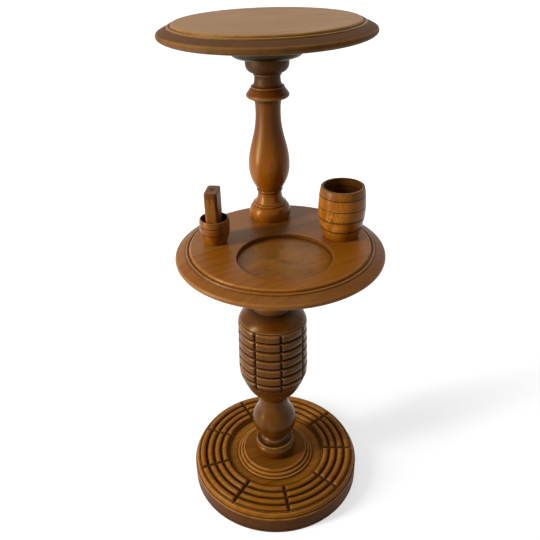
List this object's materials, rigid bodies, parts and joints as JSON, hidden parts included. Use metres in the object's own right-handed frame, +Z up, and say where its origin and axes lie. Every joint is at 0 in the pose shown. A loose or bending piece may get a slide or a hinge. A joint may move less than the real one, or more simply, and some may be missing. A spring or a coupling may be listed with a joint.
{
  "type": "smoker's stand",
  "caption": "Turned wooden smoker's stand: small round top, offset round shelf with ashtray recess and two turned cups, carved barrel column on a round carved base.",
  "frame": {"origin": "on the axis of the columns, at the floor", "axes": "+Z up along the columns, -Y towards the shelf's ashtray side, which is the front, +X to the right as seen from the front, towards the cigarette barrel"},
  "size_m": [0.264, 0.3315, 0.7],
  "materials": {
    "stained_wood": "satin lacquer",
    "cup_wood": "satin lacquer",
    "dark_wood": "satin lacquer",
    "plain_wood": "bare",
    "steel": "plain"
  },
  "bodies": {
    "root": {"base_disc": "stained_wood", "coach_screw": "steel", "coach_washer": "steel", "lower_column": "stained_wood", "shelf": "stained_wood", "shelf_dowel": "plain_wood", "upper_column": "stained_wood", "top_flange": "dark_wood", "flange_screws": "steel", "table_top": "stained_wood", "cigarette_barrel": "cup_wood", "barrel_screw": "steel", "match_cup": "cup_wood", "matchbox_post": "cup_wood", "match_screw": "steel"}
  },
  "joints": []
}
